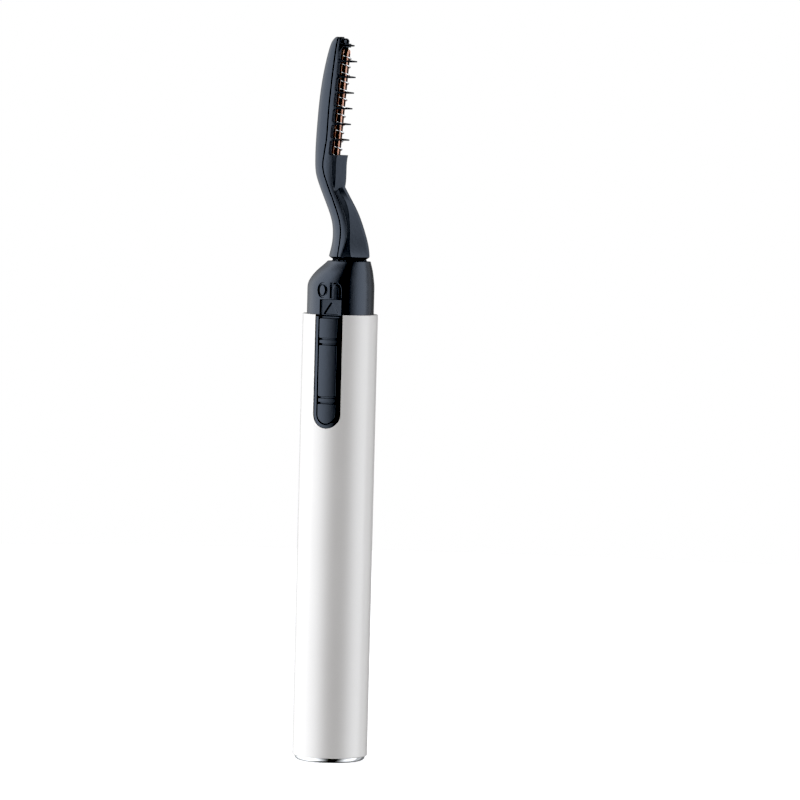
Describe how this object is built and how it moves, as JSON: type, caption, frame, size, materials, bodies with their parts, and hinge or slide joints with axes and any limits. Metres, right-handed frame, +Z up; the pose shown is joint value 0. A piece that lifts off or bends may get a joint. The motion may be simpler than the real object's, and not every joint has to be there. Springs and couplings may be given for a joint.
{
  "type": "heated eyelash curler",
  "caption": "Battery-powered pen-type eyelash curler: a satin tube with a thumb slide switch, a screw-off base and a curved heated comb head.",
  "frame": {"origin": "centre of the base cap's flat foot, on the barrel's axis", "axes": "+Z up the barrel's axis to the comb's tip, -Y is the side with the slide switch, +X is the way the comb's teeth point"},
  "size_m": [0.0154, 0.0154, 0.1492],
  "materials": {
    "chrome": "polished",
    "brass_bare": "satin",
    "white_plastic": "matte",
    "spring_steel": "satin",
    "cell_can": "satin",
    "cell_label": "gloss",
    "pearl_white": "satin pearl paint on aluminium",
    "black_plastic": "satin",
    "screw_steel": "bright",
    "board_green": "matte",
    "lead_red": "matte",
    "lead_black": "matte",
    "core_ceramic": "matte ceramic",
    "copper_wire": "bright copper",
    "winding_wire": "bright",
    "switch_black": "satin",
    "comb_black": "satin",
    "pin_black": "gloss"
  },
  "bodies": {
    "base_cap": {"battery_cap": "chrome", "cap_rivet": "brass_bare"},
    "spring_seat": {"spring_seat": "white_plastic", "seat_contact": "spring_steel", "battery_spring": "spring_steel"},
    "cell": {"battery_cell": "cell_can", "battery_label": "cell_label"},
    "handle": {"barrel_sleeve": "pearl_white", "base_insert": "white_plastic", "carrier_front": "black_plastic", "carrier_back": "black_plastic", "carrier_screws": "screw_steel", "positive_contact": "spring_steel", "return_strip": "spring_steel", "switch_board": "board_green", "live_strip": "brass_bare", "heater_strip": "brass_bare", "live_lead": "lead_red", "return_lead": "lead_black", "heater_terminals": "brass_bare", "heater_core": "core_ceramic", "heater_strands": "copper_wire", "heater_winding": "winding_wire", "neck_collar": "black_plastic", "comb_back_shell": "comb_black", "comb_front_frame": "comb_black", "tip_pin": "pin_black"},
    "switch": {"switch_slider": "switch_black", "bridge_contact": "brass_bare"}
  },
  "joints": [
    {"name": "cap_turn", "type": "hinge", "parent": "base_cap", "child": "spring_seat", "pos_m": [0, 0, 0], "axis": [0, 0, 1], "range_deg": [0, 60]},
    {"name": "barrel_lift", "type": "slide", "parent": "spring_seat", "child": "handle", "axis": [0, 0, 1], "range_m": [0, 0.064]},
    {"name": "cell_lift", "type": "slide", "parent": "spring_seat", "child": "cell", "axis": [0, 0, 1], "range_m": [0, 0.008]},
    {"name": "switch_slide", "type": "slide", "parent": "handle", "child": "switch", "axis": [0, 0, 1], "range_m": [0, 0.0032]}
  ],
  "couplings": [
    {"joint": "cell_lift", "follows": "barrel_lift", "ratio": 0.125}
  ]
}
